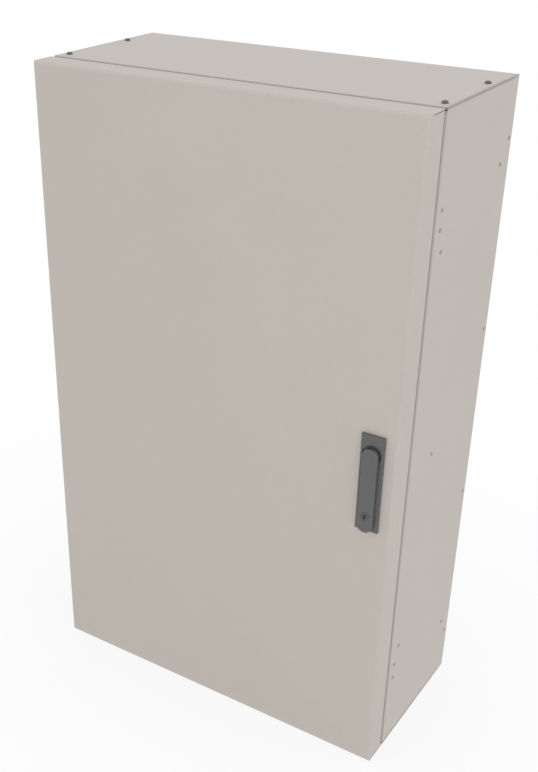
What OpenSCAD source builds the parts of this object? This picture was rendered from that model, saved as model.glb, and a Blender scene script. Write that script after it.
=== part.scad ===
// Wall-mount 19-inch rack cabinet: folded steel body, tray door on two pin hinges, swing handle and rod lock.
// The door faces -Y, the rear panel lies on y = 0, and the origin is the centre of the wall-fixing holes.

/* [Cabinet] */
// Outside width
cabinet_w = 600; // [590:1:800]
// Outside height
cabinet_h = 1000; // [990:1:1200]
// Outside depth, wall to door face
cabinet_d = 285; // [260:1:450]
// Thickness of the steel sheet
sheet = 1.5; // [1.2:0.1:1.8]
// Inside radius of the sheet bends
bend_r = 1.5; // [1:0.1:2]
// Width of the front frame around the opening
frame_w = 26; // [25:0.5:27]
// Width of the side panels' top and bottom flanges
side_flange_w = 24; // [20:1:25]
// Depth of the rear panel's flanges
rear_flange_d = 20; // [16:1:24]

/* [Fixings] */
// Distance of the wall-fixing holes from the sides
wall_hole_side = 50; // [40:1:100]
// Distance of the wall-fixing holes from the top and the bottom
wall_hole_end = 50; // [40:1:100]
// Size of the relief notches where two bends meet at the front corners
corner_relief = 3; // [2.5:0.5:6]
// Radius of the wall-fixing holes
wall_hole_r = 5; // [4:0.5:6]
// Radius of the screw shanks
screw_r = 2.5; // [2:0.1:3]
// Inset of the top and bottom panel screws from the sides
panel_screw_inset = 12; // [9:0.5:13]
// Distance of the front panel screws from the door face
panel_screw_front = 67; // [62:1:90]
// Distance of the back panel screws from the wall
panel_screw_back = 81; // [40:1:120]
// Distance of the rear panel screws from the wall
rear_screw_y = 10; // [8:0.5:12]
// Distance of the side panels' middle plugs from the door face
side_plug_front = 121; // [105:1:140]
// Distance of the outer rear panel screws from the top and the bottom
rear_screw_end = 81.5; // [60:0.5:110]
// Number of rear panel screws on each side
rear_screws_per_side = 4; // [3:1:6]

/* [Rack] */
// Gap between each side panel and its rack rail: 45.5 gives the 19-inch spacing in a 600 mm cabinet
rail_standoff = 45.5; // [40:0.5:60]
// Distance of the rack rails behind the door face
rail_setback = 95; // [85:1:130]
// Sheet thickness of the rack rails
rail_t = 2; // [1.5:0.1:2.5]
// Width of a rack rail's front flange
rail_flange_w = 28; // [24:1:32]
// Depth of a rack rail's web
rail_web_d = 30; // [26:1:36]
// Side of the square cage-nut holes
cage_hole = 9.5; // [9:0.1:10]
// Distance of the depth rails from the top and the bottom
depth_rail_end = 112.5; // [100:0.5:160]
// Height of a depth rail's channel
depth_rail_h = 30; // [26:1:36]

/* [Door] */
// Depth of the door tray
door_depth = 42; // [40:0.5:46]
// Gap between the door and the body
door_gap = 4.5; // [3.2:0.1:5]
// Outside radius of the door's front edges
door_edge_r = 5; // [3:0.5:6]
// Opening angle of the door
door_open = 120; // [95:1:120]
// Width of the seal on the door's rear lip
seal_w = 9; // [6:0.5:10]
// Width of the door stiffener
stiffener_w = 60; // [40:1:90]
// Depth of the door stiffener
stiffener_d = 16; // [10:1:22]

/* [Hinges] */
// Distance of each hinge's middle from the door's end
hinge_end = 155; // [140:1:200]
// Distance of the hinge axis from the side
hinge_inset = 8; // [7.5:0.1:8.2]
// Distance of the hinge axis in front of the door's rear edge
hinge_forward = 12; // [11:0.5:14]
// Radius of the hinge pins
hinge_pin_r = 3; // [2.5:0.1:3.2]
// Outside radius of the hinge knuckles
knuckle_r = 5; // [4.6:0.1:5]
// Length of the middle knuckle
knuckle_l = 30; // [24:1:36]
// Thickness of the hinge plates
hinge_t = 3; // [2.5:0.1:3]

/* [Handle] */
// Distance of the handle's centre line from the door's side
handle_inset = 36; // [35:0.5:40]
// Width of the handle's base plate
plate_w = 34.5; // [32:0.5:37]
// Height of the handle's base plate
plate_h = 150; // [140:1:170]
// Thickness of the handle's base plate
plate_t = 5; // [4:0.5:6]
// Width of the lever
lever_w = 23; // [21:0.5:24]
// Thickness of the lever
lever_t = 7; // [6.5:0.1:9]
// Radius of the lever's front edges
lever_edge_r = 2.5; // [1:0.1:3]
// Distance of the spindle's axis below the plate's top edge
spindle_drop = 29; // [26:0.5:34]
// Distance of the key plug's axis above the lever's lower end
key_rise = 27; // [24:0.5:34]

/* [Rod lock] */
// Module of the rack and pinion teeth
tooth_module = 2; // [1.8:0.05:2.1]
// Pressure angle of the teeth
pressure_angle = 25; // [24:0.5:26]
// Width of the lock rods
rod_w = 8; // [7:0.5:9]
// Thickness of the lock rods
rod_t = 5; // [4:0.5:6]
// Distance of the rods' middle behind the door face
rod_depth = 23; // [21:0.5:26]

/* [Hidden] */
$fn = 48;

// Finishes
paint = [0.75, 0.72, 0.69];
dark_metal = [0.36, 0.36, 0.37];
zinc = [0.72, 0.73, 0.75];
galvanised = [0.66, 0.68, 0.69];
black_rubber = [0.08, 0.08, 0.08];
black_plastic = [0.12, 0.12, 0.13];

// Clearances: a running fit on a radius, parts that seat together, and parts that pass each other
fit = 0.05;
seat = 0.2;
pass = 0.4;

// Main faces of the body
half_w = cabinet_w / 2;
half_h = cabinet_h / 2;
wall_x = half_w - sheet;
cover_z = half_h - sheet;
front_y = -cabinet_d;
door_back = front_y + door_depth;
body_front = door_back + door_gap;
frame_back = body_front + sheet;
skin_y = front_y + sheet;
open_x = half_w - frame_w;
open_z = half_h - frame_w;
corner_seam = 1;
rear_x = wall_x - seat;
rear_z = cover_z - seat;

// Fixings on the side panels
panel_screw_ys = [front_y + panel_screw_front, -panel_screw_back];
panel_screw_x = half_w - panel_screw_inset;
// Cross recess of a screw head, as shares of the head's radius and height
recess_l = 0.52;
recess_w = 0.11;
recess_floor = 0.4;
panel_head_r = 4.2;
panel_head_h = 3;
panel_screw_l = 10;
rear_screw_pitch = (cabinet_h - 2 * rear_screw_end) / (rear_screws_per_side - 1);
rear_screw_zs = [for (k = [0:rear_screws_per_side - 1]) rear_screw_end - half_h + k * rear_screw_pitch];
wall_hole_x = half_w - wall_hole_side;
wall_hole_z = half_h - wall_hole_end;
depth_rail_screw_y = -31;
side_plug_y = front_y + side_plug_front;
side_dot_r = 3;
side_dot_proud = 0.9;

// Rack rails: the height of one unit, its three holes and the hole row's distance from the clear width
rack_unit = 44.45;
unit_holes = [6.35, 22.225, 38.1];
hole_row_inset = 7.55;
rail_end = 8;
rack_units = floor((2 * open_z - 2 * rail_end) / rack_unit);
rail_y = front_y + rail_setback;
rail_web_x = wall_x - rail_standoff;
rail_in = rail_web_x - rail_flange_w;
depth_rail_z = half_h - depth_rail_end;
rail_h = rack_units * rack_unit + 2 * rail_end;
rail_bolt_r = 3;
rail_nut_r = 5.6;
rail_nut_h = 5;
rail_bolt_y = rail_y + rail_web_d / 2;
rail_bolt_zs = [for (s = [-1, 1], d = [-1, 1]) s * depth_rail_z + d * depth_rail_h / 5];

// Cable entry in the bottom panel
entry_w = 320;
entry_d = 110;
entry_rim = 15;
entry_y = (frame_back - rear_flange_d) / 2;

// Hinges
hinge_x = -half_w + hinge_inset;
hinge_y = door_back - hinge_forward;
hinge_z = half_h - hinge_end;
hinge_wall = hinge_inset - sheet;
door_knuckle_l = knuckle_l / 2;
knuckle_gap = 0.6;
leaf_z = knuckle_l / 2 + knuckle_gap + door_knuckle_l;
arm_reach = (hinge_inset - hinge_wall * cos(door_open)) / sin(door_open);
notch_depth = hinge_forward + hinge_wall * sin(door_open) - arm_reach * cos(door_open) + 2 * pass;
notch_z = knuckle_l / 2 + knuckle_gap / 2;
// Hinge screws, as distance behind the door face and height from the hinge's middle
hinge_hole_dots = [[63, 28], [63, 2], [73, -29]];
bracket_edge = 10;
bracket_back = front_y + hinge_hole_dots[2][0] + bracket_edge;
bracket_up = hinge_hole_dots[0][1] + bracket_edge;
bracket_down = bracket_edge - hinge_hole_dots[2][1];

// Handle
handle_x = half_w - handle_inset;
plate_front = front_y - plate_t;
spindle_z = plate_h / 2 - spindle_drop;
plate_edge_r = 1;
disc_r = lever_w / 2;
plate_recess_r = disc_r + 2.7;
plate_recess_d = 3;
disc_front = plate_front + plate_recess_d;
lever_back = plate_front - 0.5;
lever_front = lever_back - lever_t;
lever_back_r = 0.6;
pivot_y = lever_back - 2.5;
pivot_z = spindle_z + 6;
lever_pin_r = 1.5;
lug_r = 2.8;
lug_w = 9;
lever_end_z = -plate_h / 2;
key_z = lever_end_z + key_rise;
barrel_r = 6.5;
plug_r = 4.5;
key_slot_w = 2.2;
key_slot_h = 7.4;
key_slot_d = 4;
handle_screw_zs = [plate_h / 2 - 8.5, -plate_h / 2 + 9];
shank_r = 6;
drive = 9;
journal_r = 4;

// Rod lock: pinion, racks and rods
pinion_teeth = 12;
pitch_r = tooth_module * pinion_teeth / 2;
tooth_pitch = PI * tooth_module;
tooth_top = tooth_module;
tooth_root = 1.25 * tooth_module;
tooth_slack = 0.1;
rod_y = front_y + rod_depth;
rod_ys = [rod_y - rod_t / 2, rod_y + rod_t / 2];
rack_back = pitch_r + tooth_root + rod_w;
rack_long = 5.1 * tooth_pitch;
upper_rod_x = handle_x - pitch_r - tooth_root - rod_w / 2;
rack_rod_x = handle_x + pitch_r + tooth_root + rod_w / 2;
keeper_side = 6;
keeper_t = 3;
keeper_hole = rod_w / 2 + 1;
keeper_half = keeper_hole + keeper_side;
lower_rod_x = open_x - keeper_half - 1;
keeper_shelf_z = open_z - 7 - keeper_t;
rod_end_z = keeper_shelf_z - 2;
link_top = spindle_z - rack_long - 2;
link_h = rod_w;
gear_ys = [rod_y - rod_t / 2 - 0.5, rod_y + rod_t / 2 + 0.5];
case_half_h = 30;
case_plate_y = gear_ys[1] + 3;
case_in = rack_back + 0.5;
case_bend_r = 0.8;
case_foot = handle_inset - door_edge_r - case_in - sheet - seat;
case_head_r = 2.7;
case_screw_r = 1.5;
case_screw_x = case_in + sheet + case_foot - case_head_r;
case_screw_z = case_half_h - 8;
guide_end = 105;
guide_z = half_h - guide_end;
guide_h = 20;
guide_wall = 6;

// A box between the given pairs of x, y and z
module span(x, y, z) {
  translate([x[0], y[0], z[0]]) cube([x[1] - x[0], y[1] - y[0], z[1] - z[0]]);
}

// Round bars along the three axes
module round_x(r, x) {
  translate([x[0], 0, 0]) rotate([0, 90, 0]) cylinder(r = r, h = x[1] - x[0]);
}

module round_y(r, y) {
  translate([0, y[0], 0]) rotate([-90, 0, 0]) cylinder(r = r, h = y[1] - y[0]);
}

module round_z(r, z) {
  translate([0, 0, z[0]]) cylinder(r = r, h = z[1] - z[0]);
}

// Extrusions of a section drawn as x, y (upright), y, z (across) or x, z (towards the wall)
module upright(z) {
  translate([0, 0, z[0]]) linear_extrude(z[1] - z[0]) children();
}

module across(x) {
  translate([x[0], 0, 0]) rotate([90, 0, 90]) linear_extrude(x[1] - x[0]) children();
}

module inward(y) {
  translate([0, y[1], 0]) rotate([90, 0, 0]) linear_extrude(y[1] - y[0]) children();
}

// A folded sheet's section: the path is one face, and the sheet lies on the path's left
function unit(v) = v / norm(v);
function left_of(d) = [-d[1], d[0]];
function turned(v, a) = [v[0] * cos(a) - v[1] * sin(a), v[0] * sin(a) + v[1] * cos(a)];
function bend(a, b, c, t, r, off) =
  let (
    d0 = unit(b - a),
    d1 = unit(c - b),
    side = sign(cross(d0, d1)),
    angle = acos(d0 * d1),
    path_r = side > 0 ? r + t : r,
    centre = b - d0 * path_r * tan(angle / 2) + side * path_r * left_of(d0),
    steps = 6
  )
  [for (k = [0:steps]) centre - side * (path_r - side * off) * turned(left_of(d0), side * angle * k / steps)];
function sheet_face(path, t, r, off) =
  let (last = len(path) - 1)
  concat(
    [path[0] + off * left_of(unit(path[1] - path[0]))],
    [for (i = [1:1:last - 1]) each bend(path[i - 1], path[i], path[i + 1], t, r, off)],
    [path[last] + off * left_of(unit(path[last] - path[last - 1]))]
  );
function reversed(list) = [for (i = [len(list) - 1:-1:0]) list[i]];

module folded(path, t = sheet, r = bend_r) {
  polygon(concat(sheet_face(path, t, r, 0), reversed(sheet_face(path, t, r, t))));
}

// Copies a right-hand shape to the left for s = -1
module on_side(s) {
  mirror([s < 0 ? 1 : 0, 0, 0]) children();
}

module right_of_middle() {
  mirror([1, 0, 0]) children();
}

// The left side panel, with its front frame flange and the flanges for the top and bottom panels
module side_sheet() {
  bend_out = bend_r + sheet;
  flange_ys = [body_front + corner_relief, -rear_flange_d - 1];
  difference() {
    union() {
      difference() {
        upright([-cover_z, cover_z])
          folded([[-half_w, 0], [-half_w, body_front], [-open_x, body_front]]);
        for (s = [0, 1])
          mirror([0, 0, s]) {
            span([-half_w - 1, 1 - wall_x], flange_ys, [cover_z - bend_out, half_h]);
            span(
              [-half_w - 1, corner_relief - half_w],
              [body_front - 1, body_front + corner_relief],
              [cover_z - corner_relief, half_h]
            );
          }
      }
      for (s = [0, 1])
        mirror([0, 0, s])
          inward(flange_ys)
            folded([
              [side_flange_w - half_w, cover_z], [-half_w, cover_z], [-half_w, cover_z - 2 * bend_out]
            ]);
    }
    panel_screw_holes();
    for (z = rear_screw_zs)
      translate([0, -rear_screw_y, z]) round_x(screw_r + fit, [-half_w - 1, -wall_x + 1]);
    for (s = [-1, 1])
      translate([0, depth_rail_screw_y, s * depth_rail_z]) round_x(screw_r + fit, [-half_w - 1, -wall_x + 1]);
    translate([0, side_plug_y, 0]) round_x(screw_r + fit, [-half_w - 1, -wall_x + 1]);
    for (s = [-1, 1], dot = hinge_hole_dots)
      translate([0, front_y + dot[0], s * (hinge_z + dot[1])])
        round_x(screw_r + fit, [-half_w - 1, -wall_x + 1]);
  }
}

module panel_screw_holes() {
  for (s = [-1, 1], y = panel_screw_ys)
    translate([s * panel_screw_x, y, 0]) round_z(screw_r + fit, [-half_h - 1, half_h + 1]);
}

// The left panel's frame flange has a slot for each hinge arm
module side_panel_left() {
  color(paint)
    difference() {
      side_sheet();
      for (s = [-1, 1])
        translate([0, 0, s * hinge_z])
          span(
            [-wall_x, -wall_x + hinge_t + pass],
            [body_front - 1, frame_back + bend_r + pass],
            [-knuckle_l / 2 - pass, knuckle_l / 2 + pass]
          );
    }
}

module side_panel_right() {
  color(paint) right_of_middle() side_sheet();
}

// The cover sheet for the top: its front edge turns down between the side panels' frame flanges
module cover_sheet() {
  difference() {
    across([-half_w, half_w])
      folded([[0, half_h], [body_front, half_h], [body_front, open_z]]);
    for (s = [-1, 1])
      on_side(s) span([open_x - seat, half_w + 1], [body_front - 1, 1], [open_z - 1, cover_z]);
    panel_screw_holes();
  }
}

module top_panel() {
  color(paint) cover_sheet();
}

// The bottom panel has a cable entry that the gland plate closes
module bottom_panel() {
  color(paint)
    difference() {
      mirror([0, 0, 1]) cover_sheet();
      span(
        [-entry_w / 2, entry_w / 2],
        [entry_y - entry_d / 2, entry_y + entry_d / 2],
        [-half_h - 1, -cover_z + 1]
      );
      gland_screw_holes();
    }
}

// The rear panel is a shallow tray whose flanges fit between the side panels
module rear_panel() {
  color(paint)
    difference() {
      union() {
        upright([-rear_z, rear_z])
          folded([[rear_x, -rear_flange_d], [rear_x, 0], [-rear_x, 0], [-rear_x, -rear_flange_d]]);
        for (s = [-1, 1])
          span(
            [-rear_x + sheet / 2, rear_x - sheet / 2],
            [-rear_flange_d, -sheet / 2],
            s > 0 ? [rear_z - sheet, rear_z] : [-rear_z, -rear_z + sheet]
          );
      }
      for (sx = [-1, 1], sz = [-1, 1])
        translate([sx * wall_hole_x, 0, sz * wall_hole_z]) round_y(wall_hole_r, [-sheet - 1, 1]);
      for (s = [-1, 1], z = rear_screw_zs)
        on_side(s) translate([0, -rear_screw_y, z]) round_x(screw_r + fit, [rear_x - 3, half_w]);
    }
}

// The gland plate lies on the bottom panel and closes the cable entry
gland_screw_xs = [-1, 0, 1] * (entry_w / 2 + entry_rim / 2);
gland_screw_ys = [for (s = [-1, 1]) entry_y + s * (entry_d / 2 + entry_rim / 2)];

module gland_screw_holes() {
  for (x = gland_screw_xs, y = gland_screw_ys)
    translate([x, y, 0]) round_z(screw_r + fit, [-half_h - 1, -cover_z + sheet + 1]);
}

module gland_plate() {
  color(paint)
    difference() {
      span(
        [-entry_w / 2 - entry_rim, entry_w / 2 + entry_rim],
        [entry_y - entry_d / 2 - entry_rim, entry_y + entry_d / 2 + entry_rim],
        [-cover_z, -cover_z + sheet]
      );
      gland_screw_holes();
    }
}

// A pan-head screw along +Z: the head stands on z = 0 and the shank reaches down
module pan_screw(head_r, head_h, shank_l, r = screw_r) {
  difference() {
    union() {
      round_z(r, [-shank_l, head_h / 2]);
      round_z(head_r, [0, head_h * 0.6]);
      translate([0, 0, head_h * 0.6]) cylinder(r1 = head_r, r2 = head_r * 0.7, h = head_h * 0.4);
    }
    for (a = [0, 90])
      rotate([0, 0, a])
        span(
          [-head_r * recess_l, head_r * recess_l],
          [-head_r * recess_w, head_r * recess_w],
          [head_h * recess_floor, head_h + 1]
        );
  }
}

module gland_screws() {
  color(zinc)
    for (x = gland_screw_xs, y = gland_screw_ys)
      translate([x, y, -cover_z + sheet]) pan_screw(4.5, 2.4, 2 * sheet);
}

module top_screws() {
  color(dark_metal)
    for (s = [-1, 1], y = panel_screw_ys)
      translate([s * panel_screw_x, y, half_h]) pan_screw(panel_head_r, panel_head_h, panel_screw_l);
}

module bottom_screws() {
  color(zinc)
    for (s = [-1, 1], y = panel_screw_ys)
      translate([s * panel_screw_x, y, -cover_z + sheet])
        pan_screw(panel_head_r, panel_head_h, 2 * sheet);
}

// Low round fixings on the side panels, on the left side for s = -1 and the right for s = 1
module side_dot(s, y, z, inside) {
  translate([s * half_w, y, z]) on_side(s) rotate([0, 90, 0]) pan_screw(side_dot_r, side_dot_proud, inside);
}

module rear_screws() {
  color(paint)
    for (s = [-1, 1], z = rear_screw_zs) side_dot(s, -rear_screw_y, z, 7);
}

module depth_rail_screws() {
  color(paint)
    for (s = [-1, 1], t = [-1, 1]) side_dot(s, depth_rail_screw_y, t * depth_rail_z, 8);
}

// Plugs in the hinge holes that this side of the door doesn't use
module hinge_hole_plugs() {
  color(paint)
    for (s = [-1, 1], dot = hinge_hole_dots)
      side_dot(1, front_y + dot[0], s * (hinge_z + dot[1]), 4);
}

module side_plugs() {
  color(paint)
    for (s = [-1, 1]) side_dot(s, side_plug_y, 0, 4);
}

// A depth rail: an open channel on the side panel that carries the rack rails
module depth_channel(z) {
  low = z - depth_rail_h / 2;
  high = z + depth_rail_h / 2;
  difference() {
    inward([rail_y, -rear_flange_d - 1])
      folded([[-wall_x, high], [-wall_x, low], [-rail_web_x, low], [-rail_web_x, high]]);
    translate([0, depth_rail_screw_y, z]) round_x(screw_r + fit, [-half_w, -wall_x + 4]);
    rail_bolt_holes();
  }
}

module rail_bolt_holes() {
  for (z = rail_bolt_zs)
    translate([0, rail_bolt_y, z]) round_x(rail_bolt_r + fit, [-rail_web_x - 6, -rail_web_x + 6]);
}

module depth_rail_upper_left() {
  color(galvanised) depth_channel(depth_rail_z);
}

module depth_rail_upper_right() {
  color(galvanised) right_of_middle() depth_channel(depth_rail_z);
}

module depth_rail_lower_left() {
  color(galvanised) depth_channel(-depth_rail_z);
}

module depth_rail_lower_right() {
  color(galvanised) right_of_middle() depth_channel(-depth_rail_z);
}

// A rack rail: an angle with three square holes in each unit
module rack_angle() {
  difference() {
    union() {
      upright([-rail_h / 2, rail_h / 2])
        folded(
          [
            [-rail_web_x, rail_y + rail_web_d], [-rail_web_x, rail_y],
            [1 - rail_in - rail_flange_w / 2, rail_y]
          ],
          rail_t
        );
      inward([rail_y, rail_y + rail_t]) rail_face();
    }
    rail_bolt_holes();
  }
}

module rail_face() {
  difference() {
    translate([-rail_in - rail_flange_w / 2, -rail_h / 2]) square([rail_flange_w / 2, rail_h]);
    for (u = [0:rack_units - 1], h = unit_holes)
      translate([-rail_in - hole_row_inset, -rail_h / 2 + rail_end + u * rack_unit + h])
        square(cage_hole, center = true);
  }
}

module rack_rail_left() {
  color(galvanised) rack_angle();
}

module rack_rail_right() {
  color(galvanised) right_of_middle() rack_angle();
}

module rail_bolts() {
  grip = rail_t + sheet;
  color(zinc)
    for (s = [-1, 1], z = rail_bolt_zs)
      on_side(s)
        translate([rail_web_x - rail_t, rail_bolt_y, z])
          rotate([0, -90, 0]) {
            pan_screw(5.5, 4, grip + rail_nut_h + 1.5, rail_bolt_r);
            translate([0, 0, -grip - rail_nut_h]) cylinder(r = rail_nut_r, h = rail_nut_h, $fn = 6);
          }
}

// The body's half of a hinge: a plate inside the side panel, with an arm through the frame to its knuckle
module hinge_bracket(s) {
  difference() {
    translate([0, 0, s * hinge_z])
      union() {
        span(
          [-wall_x, -wall_x + hinge_t],
          [frame_back + bend_r, bracket_back],
          s > 0 ? [-bracket_down, bracket_up] : [-bracket_up, bracket_down]
        );
        span(
          [-wall_x, -wall_x + hinge_t],
          [hinge_y, frame_back + bend_r + 1],
          [-knuckle_l / 2, knuckle_l / 2]
        );
        translate([hinge_x, hinge_y, 0]) round_z(knuckle_r, [-knuckle_l / 2, knuckle_l / 2]);
      }
    translate([hinge_x, hinge_y, s * hinge_z]) round_z(hinge_pin_r + fit, [-knuckle_l, knuckle_l]);
    for (dot = hinge_hole_dots)
      translate([0, front_y + dot[0], s * (hinge_z + dot[1])])
        round_x(screw_r + fit, [-half_w, -wall_x + hinge_t + 1]);
  }
}

module hinge_bracket_upper() {
  color(zinc) hinge_bracket(1);
}

module hinge_bracket_lower() {
  color(zinc) hinge_bracket(-1);
}

module hinge_screws() {
  color(paint)
    for (s = [-1, 1], dot = hinge_hole_dots)
      side_dot(-1, front_y + dot[0], s * (hinge_z + dot[1]), 8);
}

// A keeper: an angle behind the frame whose shelf reaches into the door and takes the rod's end
module rod_keeper(x) {
  difference() {
    translate([x, 0, 0])
      across([-keeper_half, keeper_half])
        folded(
          [
            [rod_ys[0] - 5, keeper_shelf_z], [frame_back + keeper_t, keeper_shelf_z],
            [frame_back + keeper_t, cover_z - 6]
          ],
          keeper_t
        );
    translate([x, 0, 0])
      span(
        [-keeper_hole, keeper_hole],
        [rod_ys[0] - 1, rod_ys[1] + 1],
        [keeper_shelf_z - 1, keeper_shelf_z + keeper_t + 1]
      );
  }
}

module rod_keeper_upper() {
  color(zinc) rod_keeper(upper_rod_x);
}

module rod_keeper_lower() {
  color(zinc) mirror([0, 0, 1]) rod_keeper(lower_rod_x);
}

// Earth studs, each with its nut
module threaded_stud(length) {
  round_z(3, [0, length]);
  round_z(6.5, [0, 1.6]);
  translate([0, 0, 1.6]) cylinder(r = 5.8, h = 5, $fn = 6);
}

module earth_stud() {
  color(zinc) translate([-wall_x + 60, body_front + 60, -cover_z]) threaded_stud(16);
}

module door_earth_stud() {
  color(zinc) translate([-wall_x + 60, skin_y, -open_z + 40]) rotate([-90, 0, 0]) threaded_stud(16);
}

// A section with rounded front corners, and rounded back corners where back_r is given
module soft_section(w, d, front_r, back_r) {
  translate([-w / 2, front_r]) square([w, d - front_r - back_r]);
  translate([-w / 2 + front_r, 0]) square([w - 2 * front_r, d - back_r]);
  translate([-w / 2 + back_r, front_r]) square([w - 2 * back_r, d - front_r]);
  for (s = [-1, 1]) {
    translate([s * (w / 2 - front_r), front_r]) circle(front_r);
    if (back_r > 0) translate([s * (w / 2 - back_r), d - back_r]) circle(back_r);
  }
}

module soft_block(w, h, d, front_r, back_r) {
  intersection() {
    upright([-h / 2, h / 2]) soft_section(w, d, front_r, back_r);
    across([-w / 2, w / 2]) mirror([1, -1, 0]) soft_section(h, d, front_r, back_r);
  }
}

// The door is a tray with soft front edges, a lip turned in along its rear edges and open corner seams
module tray_form(inset) {
  translate([0, front_y + inset, 0])
    soft_block(
      cabinet_w - 2 * inset,
      cabinet_h - 2 * inset,
      door_depth - 2 * inset,
      door_edge_r - inset,
      bend_r + sheet - inset
    );
}

module door_shell() {
  color(paint)
    difference() {
      tray_form(0);
      tray_form(sheet);
      span([-open_x, open_x], [door_back - 2 * sheet, door_back + 1], [-open_z, open_z]);
      for (s = [-1, 1])
        translate([0, 0, s * hinge_z])
          span([-half_w - 1, hinge_x], [door_back - notch_depth, door_back + 1], [-notch_z, notch_z]);
      for (sx = [0, 1], sz = [0, 1])
        mirror([sx, 0, 0])
          mirror([0, 0, sz])
            span(
              [wall_x - 1, half_w + 1],
              [front_y + 2 * door_edge_r, door_back + 1],
              [cover_z - corner_seam, cover_z]
            );
      translate([handle_x, 0, spindle_z]) round_y(shank_r + 0.5, [front_y - 1, skin_y + 1]);
      handle_screw_holes();
    }
}

// The foam seal on the door's lip presses on the body's frame
module door_seal() {
  outer_x = open_x + seal_w + 1;
  outer_z = open_z + seal_w + 1;
  color(black_rubber)
    difference() {
      span([-outer_x, outer_x], [door_back, body_front - 0.3], [-outer_z, outer_z]);
      span(
        [-open_x - 1, open_x + 1],
        [door_back - 1, body_front + 1],
        [-open_z - 1, open_z + 1]
      );
    }
}

// A hat section down the middle of the door
module door_stiffener() {
  foot = 14;
  inner = stiffener_w / 2;
  top = skin_y + stiffener_d;
  color(paint)
    upright([-open_z + 40, open_z - 40])
      folded([
        [inner + foot, skin_y + sheet], [inner, skin_y + sheet], [inner, top],
        [-inner, top], [-inner, skin_y + sheet], [-inner - foot, skin_y + sheet]
      ]);
}

// The door's half of a hinge: a plate on the door's side return with a knuckle at each end
module door_leaf(s) {
  translate([0, 0, s * hinge_z])
    difference() {
      union() {
        span([-wall_x, -wall_x + hinge_t], [skin_y + door_edge_r, hinge_y], [-leaf_z, leaf_z]);
        for (t = [-1, 1])
          translate([hinge_x, hinge_y, 0])
            round_z(knuckle_r, [-door_knuckle_l, 0] + [1, 1] * (t > 0 ? leaf_z : door_knuckle_l - leaf_z));
      }
      span(
        [-half_w, hinge_x - knuckle_r + hinge_t],
        [door_back - notch_depth, hinge_y + 1],
        [-notch_z, notch_z]
      );
      translate([hinge_x, hinge_y, 0]) round_z(hinge_pin_r + fit, [-leaf_z - 1, leaf_z + 1]);
    }
}

module door_leaf_upper() {
  color(zinc) door_leaf(1);
}

module door_leaf_lower() {
  color(zinc) door_leaf(-1);
}

// A hinge pin hangs by its head on the upper door knuckle
module hinge_pin(s) {
  translate([hinge_x, hinge_y, s * hinge_z]) {
    round_z(hinge_pin_r, [-leaf_z - 3, leaf_z + 1]);
    round_z(knuckle_r - 0.4, [leaf_z, leaf_z + 2]);
  }
}

module hinge_pin_upper() {
  color(zinc) hinge_pin(1);
}

module hinge_pin_lower() {
  color(zinc) hinge_pin(-1);
}

// The handle's base plate, with a round recess for the lever's top end and a dish behind the lever
module handle_screw_holes() {
  for (z = handle_screw_zs)
    translate([handle_x, 0, z]) round_y(screw_r + fit, [plate_front + 1.5, skin_y + 1]);
}

module handle_plate() {
  dish_w = lever_w - 3;
  dish_h = plate_h / 2 - 22;
  color(dark_metal)
    difference() {
      translate([handle_x, plate_front, 0]) soft_block(plate_w, plate_h, plate_t, plate_edge_r, 0);
      translate([handle_x, 0, spindle_z]) {
        round_y(disc_r + 0.5, [plate_front - 1, front_y + 1]);
        round_y(plate_recess_r, [plate_front - 1, disc_front]);
      }
      translate([handle_x, 0, 0])
        span([-dish_w / 2, dish_w / 2], [plate_front - 1, disc_front], [-dish_h, 0]);
      handle_screw_holes();
    }
}

module handle_screws() {
  color(zinc)
    for (z = handle_screw_zs)
      translate([handle_x, skin_y, z]) rotate([-90, 0, 0]) pan_screw(4.5, 3, plate_t);
}

// The spindle: a disc in the plate with a lug for the lever, a round shank, a square drive and a journal
module spindle() {
  square_y = gear_ys[0] - 3;
  color(dark_metal)
    difference() {
      translate([handle_x, 0, spindle_z]) {
        round_y(disc_r, [disc_front, front_y - seat]);
        round_y(shank_r, [front_y - seat - 1, square_y]);
        span([-drive / 2, drive / 2], [square_y - 1, case_plate_y - 0.3], [-drive / 2, drive / 2]);
        round_y(journal_r, [square_y, case_plate_y + sheet + 5]);
        translate([0, 0, pivot_z - spindle_z]) {
          span([-lug_w / 2, lug_w / 2], [pivot_y, disc_front + 1], [-lug_r, lug_r]);
          translate([0, pivot_y, 0]) round_x(lug_r, [-lug_w / 2, lug_w / 2]);
        }
      }
      at_lever_pin() round_x(lever_pin_r + fit, [-lug_w, lug_w]);
    }
}

module at_lever_pin() {
  translate([handle_x, pivot_y, pivot_z]) children();
}

// The pinion, with involute teeth
function involute(a) = tan(a) * 180 / PI - a;
function flank_angle(r) =
  let (base = pitch_r * cos(pressure_angle))
  90 / pinion_teeth - tooth_slack / pitch_r * 180 / PI + involute(pressure_angle)
    - (r > base ? involute(acos(base / r)) : 0);
function polar(r, a) = [r * cos(a), r * sin(a)];

module pinion_outline() {
  base = pitch_r * cos(pressure_angle);
  tip = pitch_r + tooth_top;
  radii = concat([pitch_r - tooth_root], [for (k = [0:4]) base + (tip - base) * k / 4]);
  polygon([
    for (t = [0:pinion_teeth - 1])
      let (middle = t * 360 / pinion_teeth)
      each concat(
        [for (r = radii) polar(r, middle - flank_angle(r))],
        [for (r = reversed(radii)) polar(r, middle + flank_angle(r))]
      )
  ]);
}

module pinion() {
  hub_r = pitch_r - tooth_root - 1.5;
  color(galvanised)
    translate([handle_x, 0, spindle_z])
      difference() {
        union() {
          inward(gear_ys) pinion_outline();
          round_y(hub_r, [gear_ys[0] - 2.7, case_plate_y - 0.3]);
        }
        span(
          [-drive / 2 - fit, drive / 2 + fit],
          [gear_ys[0] - 4, case_plate_y + 1],
          [-drive / 2 - fit, drive / 2 + fit]
        );
      }
}

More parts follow.
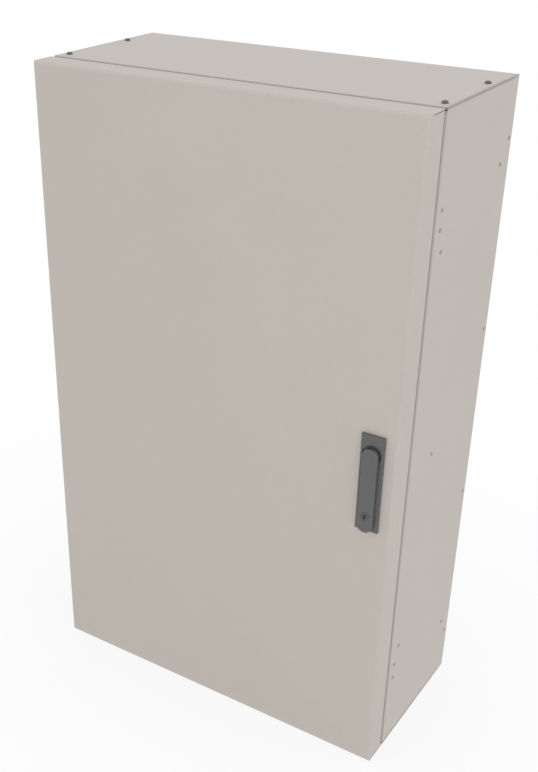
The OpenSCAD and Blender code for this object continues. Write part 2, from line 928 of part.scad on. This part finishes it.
module spindle_circlip() {
  back = case_plate_y + sheet + 0.2;
  color(zinc)
    translate([handle_x, 0, spindle_z])
      difference() {
        round_y(journal_r + 3, [back, back + 1]);
        round_y(journal_r + fit, [back - 1, back + 2]);
        span([-1.5, 1.5], [back - 1, back + 2], [-journal_r - 4, 0]);
      }
}

// The gear case: a hat section over the pinion and the racks that carries the spindle's journal
module gear_case() {
  wall_face = case_in + sheet;
  foot_face = skin_y + sheet;
  back_face = case_plate_y + sheet;
  color(galvanised)
    difference() {
      translate([handle_x, 0, spindle_z])
        upright([-case_half_h, case_half_h])
          folded(
            [
              [wall_face + case_foot, foot_face], [wall_face, foot_face], [wall_face, back_face],
              [-wall_face, back_face], [-wall_face, foot_face], [-wall_face - case_foot, foot_face]
            ],
            sheet, case_bend_r
          );
      translate([handle_x, 0, spindle_z]) round_y(journal_r + fit, [case_plate_y - 1, back_face + 1]);
      at_case_screws() round_y(case_screw_r + fit, [skin_y - 1, foot_face + 1]);
    }
}

module at_case_screws() {
  for (s = [-1, 1], t = [-1, 1])
    translate([handle_x + s * case_screw_x, 0, spindle_z + t * case_screw_z]) children();
}

module gear_case_screws() {
  color(zinc)
    at_case_screws()
      translate([0, skin_y + sheet, 0]) rotate([-90, 0, 0]) pan_screw(case_head_r, 2, sheet, case_screw_r);
}

// A moulded guide holds each rod on the door
module rod_guide(x, z) {
  color(black_plastic)
    difference() {
      translate([x, 0, z])
        span(
          [-rod_w / 2 - guide_wall, rod_w / 2 + guide_wall],
          [skin_y, rod_ys[1] + guide_wall],
          [-guide_h / 2, guide_h / 2]
        );
      translate([x, 0, z])
        span(
          [-rod_w / 2 - pass, rod_w / 2 + pass],
          [rod_ys[0] - pass, rod_ys[1] + pass],
          [-guide_h, guide_h]
        );
    }
}

module rod_guide_upper() {
  rod_guide(upper_rod_x, guide_z);
}

module rod_guide_lower() {
  rod_guide(lower_rod_x, -guide_z);
}

// A rack's section, drawn with its pitch line on x = 0 and its teeth towards +X
module rack_outline(first, last) {
  at_pitch = tooth_pitch / 4 - tooth_slack;
  at_top = at_pitch - tooth_top * tan(pressure_angle);
  at_root = at_pitch + tooth_root * tan(pressure_angle);
  for (k = [first:last])
    translate([0, (k + 0.5) * tooth_pitch])
      polygon([[-tooth_root - 0.5, -at_root], [-tooth_root, -at_root], [tooth_top, -at_top],
        [tooth_top, at_top], [-tooth_root, at_root], [-tooth_root - 0.5, at_root]]);
}

// The upper rod runs on the pinion's left, so the lever's quarter turn throws it upwards
module upper_rod() {
  color(galvanised)
    inward(rod_ys) {
      translate([handle_x - pitch_r, spindle_z]) rack_outline(-5, 1);
      translate([upper_rod_x - rod_w / 2, spindle_z - rack_long])
        square([rod_w, rod_end_z - spindle_z + rack_long]);
    }
}

// The lower rod runs on the pinion's right and steps sideways below the case into the frame's opening
module lower_rod() {
  color(galvanised)
    inward(rod_ys) {
      translate([handle_x + pitch_r, spindle_z]) mirror([1, 0, 0]) rack_outline(-2, 4);
      translate([rack_rod_x - rod_w / 2, link_top - link_h])
        square([rod_w, spindle_z + rack_long - link_top + link_h]);
      translate([lower_rod_x - rod_w / 2, link_top - link_h])
        square([rack_rod_x - lower_rod_x + rod_w, link_h]);
      translate([lower_rod_x - rod_w / 2, -rod_end_z])
        square([rod_w, link_top + rod_end_z]);
    }
}

// The lever covers the spindle's lug with its round top end, and is pinned to it
module lever_section() {
  soft_section(lever_w, lever_t, lever_edge_r, lever_back_r);
}

module lever_end(z) {
  translate([0, lever_front, z])
    rotate([-90, 0, 0])
      rotate_extrude()
        intersection() {
          lever_section();
          square([lever_w, lever_t]);
        }
}

module handle_lever() {
  end_r = lever_w / 2;
  hand_wall = 4;
  color(dark_metal)
    difference() {
      translate([handle_x, 0, 0]) {
        upright([lever_end_z + end_r, spindle_z]) translate([0, lever_front]) lever_section();
        lever_end(lever_end_z + end_r);
        lever_end(spindle_z);
      }
      at_lever_pin() {
        round_x(lever_pin_r + fit, [-lever_w, lever_w]);
        span(
          [-lug_w / 2 - 0.3, lug_w / 2 + 0.3],
          [-lug_r - 0.3, lever_t],
          [-lug_r - pass, lever_w]
        );
      }
      translate([handle_x, 0, 0]) {
        translate([0, 0, key_z]) round_y(barrel_r + fit, [lever_front - 1, lever_back + 1]);
        span(
          [hand_wall - end_r, end_r - hand_wall],
          [lever_back - 3, lever_back + 1],
          [key_z + barrel_r + 6, spindle_z - end_r]
        );
      }
    }
}

module lever_pin() {
  half = sqrt(pow(lever_w / 2, 2) - pow(pivot_z - spindle_z, 2)) - 0.5;
  color(zinc) at_lever_pin() round_x(lever_pin_r, [-half, half]);
}

// The lock barrel sits in the lever, and the key plug turns in it
module lock_barrel() {
  color(zinc)
    translate([handle_x, 0, key_z])
      difference() {
        round_y(barrel_r, [lever_front - 0.4, lever_back - 0.1]);
        round_y(plug_r + fit, [lever_front - 1, lever_back + 1]);
      }
}

module key_plug() {
  color(zinc)
    translate([handle_x, 0, key_z])
      difference() {
        round_y(plug_r, [lever_front - 0.6, lever_back - 0.1]);
        span(
          [-key_slot_w / 2, key_slot_w / 2],
          [lever_front - 1, lever_front + key_slot_d],
          [-key_slot_h / 2, key_slot_h / 2]
        );
      }
}

side_panel_left();
side_panel_right();
top_panel();
bottom_panel();
rear_panel();
gland_plate();
gland_screws();
top_screws();
bottom_screws();
rear_screws();
depth_rail_upper_left();
depth_rail_upper_right();
depth_rail_lower_left();
depth_rail_lower_right();
rack_rail_left();
rack_rail_right();
rail_bolts();
depth_rail_screws();
hinge_hole_plugs();
side_plugs();
hinge_bracket_upper();
hinge_bracket_lower();
hinge_screws();
rod_keeper_upper();
rod_keeper_lower();
earth_stud();
door_shell();
door_seal();
door_stiffener();
door_leaf_upper();
door_leaf_lower();
hinge_pin_upper();
hinge_pin_lower();
handle_plate();
handle_screws();
gear_case();
gear_case_screws();
rod_guide_upper();
rod_guide_lower();
door_earth_stud();
spindle();
pinion();
spindle_circlip();
handle_lever();
lever_pin();
lock_barrel();
key_plug();
upper_rod();
lower_rod();
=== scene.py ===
import math

import bpy
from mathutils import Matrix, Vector


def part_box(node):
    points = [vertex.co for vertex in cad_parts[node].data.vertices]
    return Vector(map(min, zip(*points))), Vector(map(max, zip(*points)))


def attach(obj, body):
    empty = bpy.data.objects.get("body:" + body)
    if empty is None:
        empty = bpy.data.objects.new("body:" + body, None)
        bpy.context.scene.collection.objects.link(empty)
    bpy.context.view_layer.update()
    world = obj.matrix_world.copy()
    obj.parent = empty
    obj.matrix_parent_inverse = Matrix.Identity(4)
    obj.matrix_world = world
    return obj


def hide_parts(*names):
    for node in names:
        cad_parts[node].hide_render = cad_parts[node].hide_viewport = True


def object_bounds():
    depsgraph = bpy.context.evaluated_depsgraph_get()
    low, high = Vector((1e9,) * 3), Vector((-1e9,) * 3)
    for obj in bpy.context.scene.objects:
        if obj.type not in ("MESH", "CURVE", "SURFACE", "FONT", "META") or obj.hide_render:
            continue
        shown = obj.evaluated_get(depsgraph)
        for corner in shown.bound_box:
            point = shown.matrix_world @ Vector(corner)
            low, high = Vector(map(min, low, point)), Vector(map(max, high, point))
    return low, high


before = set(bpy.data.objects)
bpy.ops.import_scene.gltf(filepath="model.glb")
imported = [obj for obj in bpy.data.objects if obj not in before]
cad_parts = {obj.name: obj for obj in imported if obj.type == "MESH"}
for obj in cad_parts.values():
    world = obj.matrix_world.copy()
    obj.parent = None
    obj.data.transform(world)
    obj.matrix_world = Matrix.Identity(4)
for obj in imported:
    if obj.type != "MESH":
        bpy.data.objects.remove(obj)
cad_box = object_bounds()

# Body panels: the side, top, bottom and rear sheets and the gland plate are folded from 1.5 mm steel and screwed
# together. They are sprayed with a warm grey powder coat and baked, which leaves a fine, slightly uneven skin.
BODY_PANELS = ["side_panel_left", "side_panel_right", "top_panel", "bottom_panel", "rear_panel", "gland_plate"]
WARM_GREY = (0.562, 0.509, 0.459, 1)
CLOUD_SCALE, CLOUD_DETAIL = 9, 3
SPECKLE_SCALE, SPECKLE_DETAIL = 800, 1
SPECKLE_SHADES = (0.88, 1.12)
PEEL_SCALE, PEEL_DETAIL = 330, 2
PAINT_RELIEF = 0.0006
RELIEF_STRENGTH = 0.6


def add_node(tree, kind, inputs=None, **settings):
    """Adds a shader node. Each input takes a plain value, or is linked where the value is a socket."""
    made = tree.nodes.new(kind)
    for name, value in settings.items():
        setattr(made, name, value)
    for key, value in (inputs or {}).items():
        if isinstance(value, bpy.types.NodeSocket):
            tree.links.new(value, made.inputs[key])
        else:
            made.inputs[key].default_value = value
    return made


def worked(tree, operation, first, second=0.0):
    """One step of arithmetic."""
    return add_node(tree, "ShaderNodeMath", {0: first, 1: second}, operation=operation).outputs[0]


def ranged(tree, value, low, high, start=0, end=1):
    """A value between start and end, spread over low to high."""
    inputs = {"Value": value, "From Min": start, "From Max": end, "To Min": low, "To Max": high}
    return add_node(tree, "ShaderNodeMapRange", inputs).outputs[0]


def tinted(tree, colour, factor):
    """A colour multiplied by a grey factor near 1."""
    return add_node(tree, "ShaderNodeVectorMath", {0: colour, 1: factor}, operation="MULTIPLY").outputs[0]


def object_place(tree):
    """The place on the piece, in metres."""
    return add_node(tree, "ShaderNodeTexCoord").outputs["Object"]


def noise(tree, place, scale, detail):
    """A noise from 0 to 1."""
    return add_node(tree, "ShaderNodeTexNoise", {"Vector": place, "Scale": scale, "Detail": detail}).outputs["Fac"]


def effect_group(name, colour, amounts):
    """A shader node group that takes a colour and named amounts, and the sockets that they come in by."""
    tree = bpy.data.node_groups.new(name, "ShaderNodeTree")
    sockets = [("Colour", "NodeSocketColor", colour)]
    sockets += [(amount, "NodeSocketFloat", value) for amount, value in amounts.items()]
    for socket, kind, value in sockets:
        tree.interface.new_socket(socket, in_out="INPUT", socket_type=kind).default_value = value
    return tree, tree.nodes.new("NodeGroupInput").outputs


def put_out(tree, colour, **values):
    """Gives a group its outputs: a colour and named values."""
    tree.interface.new_socket("Colour", in_out="OUTPUT", socket_type="NodeSocketColor")
    for name in values:
        tree.interface.new_socket(name, in_out="OUTPUT", socket_type="NodeSocketFloat")
    outputs = tree.nodes.new("NodeGroupOutput").inputs
    for name, socket in {"Colour": colour, **values}.items():
        tree.links.new(socket, outputs[name])


powder_coat, coat = effect_group("powder_coat", WARM_GREY, {"Mottle": 0.02, "Rough low": 0.48, "Rough high": 0.7})
place = object_place(powder_coat)
cloud = noise(powder_coat, place, CLOUD_SCALE, CLOUD_DETAIL)
speckle = noise(powder_coat, place, SPECKLE_SCALE, SPECKLE_DETAIL)
peel = noise(powder_coat, place, PEEL_SCALE, PEEL_DETAIL)
darkest = worked(powder_coat, "SUBTRACT", 1, coat["Mottle"])
palest = worked(powder_coat, "ADD", 1, coat["Mottle"])
clouded = tinted(powder_coat, coat["Colour"], ranged(powder_coat, cloud, darkest, palest))
put_out(
    powder_coat,
    tinted(powder_coat, clouded, ranged(powder_coat, speckle, *SPECKLE_SHADES)),
    Roughness=ranged(powder_coat, peel, coat["Rough low"], coat["Rough high"]),
    Height=peel,
)


def coated_material(name, group, colour, relief, amounts=None, **constants):
    """A material whose colour, roughness and relief come from an effect group, with constants on its shader."""
    material = bpy.data.materials.new(name)
    material.use_nodes = True
    tree = material.node_tree
    shader = tree.nodes["Principled BSDF"].inputs
    effect = add_node(tree, "ShaderNodeGroup", node_tree=group)
    for socket, value in {"Colour": colour, **(amounts or {})}.items():
        effect.inputs[socket].default_value = value
    bump = add_node(
        tree, "ShaderNodeBump",
        {"Height": effect.outputs["Height"], "Distance": relief, "Strength": RELIEF_STRENGTH},
    )
    tree.links.new(effect.outputs["Colour"], shader["Base Color"])
    tree.links.new(effect.outputs["Roughness"], shader["Roughness"])
    tree.links.new(bump.outputs["Normal"], shader["Normal"])
    for socket, value in constants.items():
        shader[socket].default_value = value
    return material


def finish_nodes(names, material):
    """Gives CAD nodes their finish."""
    for name in names:
        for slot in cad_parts[name].material_slots:
            slot.material = material


body_paint = coated_material("body_paint", powder_coat, WARM_GREY, PAINT_RELIEF)
finish_nodes(BODY_PANELS, body_paint)

# Seam shade and dust: painted shade, with some real dust, darkens the paint in the gap round the door, outside the
# seal and most of all on top, and along the joints where the top panel meets the sides. It lies on the body's and
# the door's paint alike.
DOOR_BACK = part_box("door_shell")[1][1]
BODY_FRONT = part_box("side_panel_right")[0][1]
HALF_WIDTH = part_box("side_panel_right")[1][0]
HALF_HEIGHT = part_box("top_panel")[1][2]
GAP_MIDDLE = (DOOR_BACK + BODY_FRONT) / 2
GAP_HALF = (BODY_FRONT - DOOR_BACK) / 2
SHADE_AND_DUST_SPREAD = 0.004
SHADE_AND_DUST_DEPTH = 0.008
JOINT_SPREAD = 0.005


def faded(tree, value, full, none):
    """1 at the value full, smoothly down to 0 at the value none."""
    inputs = {"Value": value, "From Min": full, "From Max": none, "To Min": 1, "To Max": 0}
    return add_node(tree, "ShaderNodeMapRange", inputs, interpolation_type="SMOOTHSTEP").outputs[0]


def both(tree, first, second):
    """Two masks or amounts multiplied."""
    return worked(tree, "MULTIPLY", first, second)


# This group paints shade, with some dust, into the door gap and the top joints by darkening the colour.
shade_and_dust, amount = effect_group("seam_shade_and_dust", WARM_GREY, {"Door gap": 0.18, "More on top": 0.16, "Top joint": 0.3})
across, along, up = add_node(shade_and_dust, "ShaderNodeSeparateXYZ", {0: object_place(shade_and_dust)}).outputs
past_side = worked(shade_and_dust, "SUBTRACT", worked(shade_and_dust, "ABSOLUTE", across), HALF_WIDTH)
past_end = worked(shade_and_dust, "SUBTRACT", worked(shade_and_dust, "ABSOLUTE", up), HALF_HEIGHT)
past_top = worked(shade_and_dust, "SUBTRACT", up, HALF_HEIGHT)
from_gap = worked(shade_and_dust, "ABSOLUTE", worked(shade_and_dust, "SUBTRACT", along, GAP_MIDDLE))
inwards = worked(shade_and_dust, "MULTIPLY", worked(shade_and_dust, "MAXIMUM", past_side, past_end), -1)
in_gap = both(shade_and_dust, faded(shade_and_dust, from_gap, GAP_HALF, GAP_HALF + SHADE_AND_DUST_SPREAD), faded(shade_and_dust, inwards, 0, SHADE_AND_DUST_DEPTH))
on_top = both(shade_and_dust, worked(shade_and_dust, "GREATER_THAN", past_top, -SHADE_AND_DUST_DEPTH), amount["More on top"])
gap_shade_and_dirt = both(shade_and_dust, in_gap, worked(shade_and_dust, "ADD", amount["Door gap"], on_top))
from_joint = add_node(shade_and_dust, "ShaderNodeCombineXYZ", {"X": past_side, "Z": past_top}).outputs[0]
from_joint = add_node(shade_and_dust, "ShaderNodeVectorMath", {0: from_joint}, operation="LENGTH").outputs["Value"]
in_joint = both(shade_and_dust, faded(shade_and_dust, from_joint, 0, JOINT_SPREAD), worked(shade_and_dust, "GREATER_THAN", along, GAP_MIDDLE))
joint_shade_and_dirt = both(shade_and_dust, in_joint, amount["Top joint"])
shade_and_dirt = worked(shade_and_dust, "ADD", gap_shade_and_dirt, joint_shade_and_dirt)
put_out(shade_and_dust, tinted(shade_and_dust, amount["Colour"], worked(shade_and_dust, "SUBTRACT", 1, shade_and_dirt)))

# The painted seam shade and dust go onto the body paint's colour, so the body and the door both get them.
tree = body_paint.node_tree
paint_colour = tree.nodes["Principled BSDF"].inputs["Base Color"]
unshaded_colour = paint_colour.links[0].from_socket
shaded_and_dusted = add_node(tree, "ShaderNodeGroup", node_tree=shade_and_dust)
tree.links.new(unshaded_colour, shaded_and_dusted.inputs["Colour"])
tree.links.new(shaded_and_dusted.outputs["Colour"], paint_colour)

# Painted fixings: low steel screws and plugs, set in the side panels and coated with the same paint.
# They look a little darker, because dirt and shadow gather round their heads.
PAINTED_FIXINGS = ["rear_screws", "depth_rail_screws", "hinge_hole_plugs", "side_plugs", "hinge_screws"]
FIXING_GREY = (0.36, 0.335, 0.31, 1)
FIXING_RELIEF = 0.00006

fixing_paint = coated_material("fixing_paint", powder_coat, FIXING_GREY, FIXING_RELIEF, {"Mottle": 0.05})
finish_nodes(PAINTED_FIXINGS, fixing_paint)

# Top screws: pan-head steel screws with a cross recess and a blackened finish. They hold the top panel down on
# the sides' flanges, and are a little paler where the finish is thin.
BLACKENED = (0.15, 0.135, 0.122, 1)
BLACKENED_RELIEF = 0.00005
BLOOM_SCALE, BLOOM_DETAIL = 60, 4
BLOOM_SHADES = (0.85, 1.12)
GRAIN_DETAIL = 3

metal_skin, skin = effect_group("metal_skin", BLACKENED, {"Grain": 300.0, "Rough low": 0.25, "Rough high": 0.45})
place = object_place(metal_skin)
bloom = noise(metal_skin, place, BLOOM_SCALE, BLOOM_DETAIL)
grain = noise(metal_skin, place, skin["Grain"], GRAIN_DETAIL)
put_out(
    metal_skin,
    tinted(metal_skin, skin["Colour"], ranged(metal_skin, bloom, *BLOOM_SHADES)),
    Roughness=ranged(metal_skin, grain, skin["Rough low"], skin["Rough high"]),
    Height=grain,
)

blackened_steel = coated_material(
    "blackened_steel", metal_skin, BLACKENED, BLACKENED_RELIEF, {"Rough low": 0.35, "Rough high": 0.6}, Metallic=0.6
)
finish_nodes(["top_screws"], blackened_steel)

# Rack rails, depth rails, lock rods and their gear: hot-dip galvanised steel, bent, punched or cut, and fixed to
# the sides or the door. The bath leaves flat crystals of zinc on them, each with its own grey.
GALVANISED_PARTS = [
    "depth_rail_upper_left", "depth_rail_upper_right", "depth_rail_lower_left", "depth_rail_lower_right",
    "rack_rail_left", "rack_rail_right", "gear_case", "upper_rod", "lower_rod", "pinion",
]
SPANGLE_GREY = (0.56, 0.575, 0.585, 1)
SPANGLE_RELIEF = 0.00004
CRYSTAL_SHADES = (0.88, 1.08)
CRYSTAL_ROUGHNESS = (0.38, 0.52)
FROST_SCALE, FROST_DETAIL = 500, 3

spangle, zinc = effect_group("zinc_spangle", SPANGLE_GREY, {"Crystals": 160.0})
place = object_place(spangle)
crystal = add_node(spangle, "ShaderNodeTexVoronoi", {"Vector": place, "Scale": zinc["Crystals"]}).outputs["Color"]
shade, gloss, _ = add_node(spangle, "ShaderNodeSeparateColor", {"Color": crystal}).outputs
put_out(
    spangle,
    tinted(spangle, zinc["Colour"], ranged(spangle, shade, *CRYSTAL_SHADES)),
    Roughness=ranged(spangle, gloss, *CRYSTAL_ROUGHNESS),
    Height=noise(spangle, place, FROST_SCALE, FROST_DETAIL),
)

galvanised_steel = coated_material("galvanised_steel", spangle, SPANGLE_GREY, SPANGLE_RELIEF, Metallic=1.0)
finish_nodes(GALVANISED_PARTS, galvanised_steel)

# Hinges, keepers, studs, pins and inner screws: small pressed and turned steel parts,
# zinc plated bright with a cold blue tinge, and screwed or pressed into place.
PLATED_PARTS = [
    "gland_screws", "bottom_screws", "rail_bolts", "hinge_bracket_upper", "hinge_bracket_lower", "rod_keeper_upper",
    "rod_keeper_lower", "earth_stud", "door_leaf_upper", "door_leaf_lower", "hinge_pin_upper", "hinge_pin_lower",
    "handle_screws", "gear_case_screws", "door_earth_stud", "spindle_circlip", "lever_pin",
]
PLATE_BLUE = (0.5, 0.515, 0.54, 1)
PLATE_RELIEF = 0.00003

bright_zinc = coated_material(
    "bright_zinc", metal_skin, PLATE_BLUE, PLATE_RELIEF,
    {"Grain": 420.0, "Rough low": 0.22, "Rough high": 0.42}, Metallic=1.0,
)
finish_nodes(PLATED_PARTS, bright_zinc)

# Door: a deep tray folded from the same sheet as the body, with a hat-section stiffener spot-welded inside.
# Both are coated together with the body's paint.
finish_nodes(["door_shell", "door_stiffener"], body_paint)

# Door seal: a soft foam bead, poured round the door's lip in one piece, with rounded corners and a domed face.
# It closes on the body's frame. The foam is black, with fine open cells.
SEAL_LOW, SEAL_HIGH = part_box("door_seal")
SEAL_WIDTH = 0.009
SEAL_CORNER = 0.014
SEAL_CORNER_STEPS = 6
SEAL_DOME = 0.0026
SEAL_DOME_STEPS = 5
SHARP_ANGLE = math.radians(60)
SMOOTH_ANGLE = math.radians(35)
FOAM_BLACK = (0.022, 0.022, 0.023, 1)
FOAM_RELIEF = 0.0004
CELL_SHADES = (0.6, 1.5)
CELL_ROUGHNESS = (0.8, 0.95)

bpy.ops.object.select_all(action="DESELECT")
bpy.ops.mesh.primitive_plane_add(size=1, rotation=(math.pi / 2, 0, 0), location=(0, SEAL_LOW[1], 0))
seal = bpy.context.object
seal.name = "foam_seal"
seal.scale = (SEAL_HIGH[0] - SEAL_LOW[0], SEAL_HIGH[2] - SEAL_LOW[2], 1)
bpy.ops.object.transform_apply(location=True, rotation=True, scale=True)
bpy.ops.object.mode_set(mode="EDIT")
bpy.ops.mesh.bevel(offset=SEAL_CORNER, segments=SEAL_CORNER_STEPS, affect="VERTICES")
bpy.ops.mesh.inset(thickness=SEAL_WIDTH)
bpy.ops.mesh.delete(type="FACE")
bpy.ops.mesh.select_all(action="SELECT")
bpy.ops.mesh.extrude_region_move(TRANSFORM_OT_translate={"value": (0, SEAL_HIGH[1] - SEAL_LOW[1], 0)})
bpy.ops.mesh.select_all(action="SELECT")
bpy.ops.mesh.normals_make_consistent(inside=False)
bpy.ops.object.mode_set(mode="OBJECT")
dome = seal.modifiers.new("dome", "BEVEL")
dome.width = SEAL_DOME
dome.segments = SEAL_DOME_STEPS
dome.limit_method = "ANGLE"
dome.angle_limit = SHARP_ANGLE
bpy.ops.object.modifier_apply(modifier="dome")
bpy.ops.object.shade_smooth_by_angle(angle=SMOOTH_ANGLE)

foam, bead = effect_group("foam_cells", FOAM_BLACK, {"Cells": 900.0})
cells = add_node(foam, "ShaderNodeTexVoronoi", {"Vector": object_place(foam), "Scale": bead["Cells"]})
cells = cells.outputs["Distance"]
put_out(
    foam,
    tinted(foam, bead["Colour"], ranged(foam, cells, *CELL_SHADES)),
    Roughness=ranged(foam, cells, *CELL_ROUGHNESS),
    Height=cells,
)

seal.data.materials.append(coated_material("seal_foam", foam, FOAM_BLACK, FOAM_RELIEF))
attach(seal, "door")
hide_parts("door_seal")

# Rod guides: moulded black nylon blocks that hold the lock rods on the door and let them slide.
# The mould leaves a fine matt grain.
NYLON_BLACK = (0.03, 0.03, 0.032, 1)
NYLON_RELIEF = 0.00006

black_nylon = coated_material(
    "black_nylon", metal_skin, NYLON_BLACK, NYLON_RELIEF, {"Grain": 700.0, "Rough low": 0.45, "Rough high": 0.6}
)
finish_nodes(["rod_guide_upper", "rod_guide_lower"], black_nylon)

# Swing handle: base plate, spindle and lever are zinc castings with a fine-grained dark grey coat.
# The plate is screwed on from inside the door, and the lever is pinned to the spindle.
HANDLE_GREY = (0.112, 0.1115, 0.112, 1)
CASTING_RELIEF = 0.0004

cast_grey = coated_material(
    "cast_grey", powder_coat, HANDLE_GREY, CASTING_RELIEF, {"Mottle": 0.06, "Rough low": 0.34, "Rough high": 0.5}
)
finish_nodes(["handle_plate", "spindle", "handle_lever"], cast_grey)

# Lock: a turned barrel pressed into the lever, and the key plug that turns in it.
# Both are plated a dark satin grey, close to the lever's.
LOCK_GREY = (0.105, 0.105, 0.107, 1)
LOCK_RELIEF = 0.00003

satin_lock = coated_material(
    "satin_lock", metal_skin, LOCK_GREY, LOCK_RELIEF, {"Rough low": 0.35, "Rough high": 0.5}, Metallic=0.3
)
finish_nodes(["lock_barrel", "key_plug"], satin_lock)

# Floor: a wide pale sheet under the cabinet, bright to the camera, that keeps the cabinet's soft shadow.
# The shadow is full under the cabinet and fades out round it. From below the sheet is clear, and soft light
# comes up through it next to the cabinet, so that the underside shows.
FLOOR_SIZE = 24
FLOOR_GAP = 0.0005
FLOOR_WHITE = (0.95, 0.95, 0.95, 1)
FLOOR_ROUGHNESS = 0.9
FOOT_LOW = (-HALF_WIDTH, DOOR_BACK, 0)
FOOT_HIGH = (HALF_WIDTH, 0, 0)
FOOT_INSET = 0.001
FOOT_CENTRE = [(low + high) / 2 for low, high in zip(FOOT_LOW, FOOT_HIGH)]
FOOT_HALF = [(high - low) / 2 - FOOT_INSET for low, high in zip(FOOT_LOW, FOOT_HIGH)]
CONTACT_REACH = 0.002
CONTACT_GLOW = 0.8
SHADOW_REACH = 0.9
CLEAR_REACH = 0.06


def seen_rays(tree):
    """1 for what the camera sees, directly, in a gloss or through glass."""
    ray = add_node(tree, "ShaderNodeLightPath").outputs
    seen = worked(tree, "MAXIMUM", ray["Is Camera Ray"], ray["Is Glossy Ray"])
    return worked(tree, "MAXIMUM", seen, ray["Is Transmission Ray"])


def mixed_shaders(tree, share, first, second):
    """The second shader, as far as share says, over the first."""
    return add_node(tree, "ShaderNodeMixShader", {"Fac": share, 1: first, 2: second}).outputs[0]


bpy.ops.object.select_all(action="DESELECT")
bpy.ops.mesh.primitive_plane_add(size=FLOOR_SIZE, location=(0, 0, cad_box[0][2] - FLOOR_GAP))
floor = bpy.context.object
floor.name = "floor"
bpy.ops.object.transform_apply(location=True)
pale_floor = bpy.data.materials.new("pale_floor")
pale_floor.use_nodes = True
tree = pale_floor.node_tree
floor_shader = tree.nodes["Principled BSDF"]
floor_shader.inputs["Base Color"].default_value = FLOOR_WHITE
floor_shader.inputs["Roughness"].default_value = FLOOR_ROUGHNESS
floor_shader.inputs["Specular IOR Level"].default_value = 0
place = object_place(tree)
for operation, other in (
    ("SUBTRACT", FOOT_CENTRE), ("ABSOLUTE", (0, 0, 0)), ("SUBTRACT", FOOT_HALF), ("MAXIMUM", (0, 0, 0)),
    ("MULTIPLY", (1, 1, 0)),
):
    place = add_node(tree, "ShaderNodeVectorMath", {0: place, 1: other}, operation=operation).outputs[0]
away = add_node(tree, "ShaderNodeVectorMath", {0: place}, operation="LENGTH").outputs["Value"]
contact = ranged(tree, away, 0, CONTACT_GLOW, 0, CONTACT_REACH)
around = ranged(tree, away, 0, 1 - CONTACT_GLOW, CONTACT_REACH, SHADOW_REACH)
seen = seen_rays(tree)
bright = both(tree, seen, worked(tree, "ADD", contact, around))
glow = add_node(tree, "ShaderNodeEmission", {"Color": (1, 1, 1, 1), "Strength": 1}).outputs[0]
from_above = mixed_shaders(tree, bright, floor_shader.outputs[0], glow)
under = add_node(tree, "ShaderNodeNewGeometry").outputs["Backfacing"]
near = worked(tree, "LESS_THAN", away, CLEAR_REACH)
lit_through = both(tree, worked(tree, "SUBTRACT", 1, seen), near)
clear = add_node(tree, "ShaderNodeBsdfTransparent").outputs[0]
sided = mixed_shaders(tree, worked(tree, "MAXIMUM", under, lit_through), from_above, clear)
tree.links.new(sided, tree.nodes["Material Output"].inputs["Surface"])
floor.data.materials.append(pale_floor)

# World: an even white surround. The camera, gloss and glass see plain white,
# and the paint gets a slightly softer and cooler level.
AMBIENT = 0.83
AMBIENT_TINT = (0.975, 0.99, 1, 1)

world = bpy.data.worlds.new("white_surround")
bpy.context.scene.world = world
world.use_nodes = True
tree = world.node_tree
soft = tree.nodes["Background"]
soft.inputs["Color"].default_value = AMBIENT_TINT
soft.inputs["Strength"].default_value = AMBIENT
plain = add_node(tree, "ShaderNodeBackground", {"Color": (1, 1, 1, 1), "Strength": 1}).outputs[0]
surround = mixed_shaders(tree, seen_rays(tree), soft.outputs[0], plain)
tree.links.new(surround, tree.nodes["World Output"].inputs["Surface"])

# Lamps: large soft boxes, one high over the cabinet, one in front to the right of the camera,
# and a weak cool one that faces the right side. Each has its place, aim, size, power and tint.
SOFT_BOXES = [
    ("overhead_box", (0.3, -0.6, 3.2), (0, -0.14, 0.4), 2.6, 13, (0.745, 0.805, 1)),
    ("front_box", (2.6, -3.2, 0.6), (0.1, -0.14, 0), 2.6, 16, (1, 0.96, 0.9)),
    ("side_box", (3.2, 0.2, 0.7), (0.3, -0.14, 0), 2, 2.6, (0.58, 0.72, 1)),
]

for name, spot, aim, size, power, tint in SOFT_BOXES:
    bpy.ops.object.light_add(type="AREA", location=spot)
    lamp = bpy.context.object
    lamp.name = name
    lamp.data.size = size
    lamp.data.energy = power
    lamp.data.color = tint
    lamp.rotation_euler = (Vector(aim) - lamp.location).to_track_quat("-Z", "Y").to_euler()

# Camera: a normal lens above and to the right of the cabinet, as in the photograph.
# Its place, turn and shift were solved from the corners of the box.
CAMERA_PLACE = (0.80535, -1.50272, 0.79182)
CAMERA_TURN = (60.812, 0.05, 33.872)
LENS_LENGTH = 52.143
SENSOR_WIDTH = 36
LENS_SHIFT = (0.0854, 0.0776)

bpy.ops.object.camera_add(location=CAMERA_PLACE, rotation=[math.radians(turn) for turn in CAMERA_TURN])
camera = bpy.context.object
camera.data.lens = LENS_LENGTH
camera.data.sensor_width = SENSOR_WIDTH
camera.data.shift_x, camera.data.shift_y = LENS_SHIFT
bpy.context.scene.camera = camera
bpy.context.scene.view_settings.view_transform = "Standard"
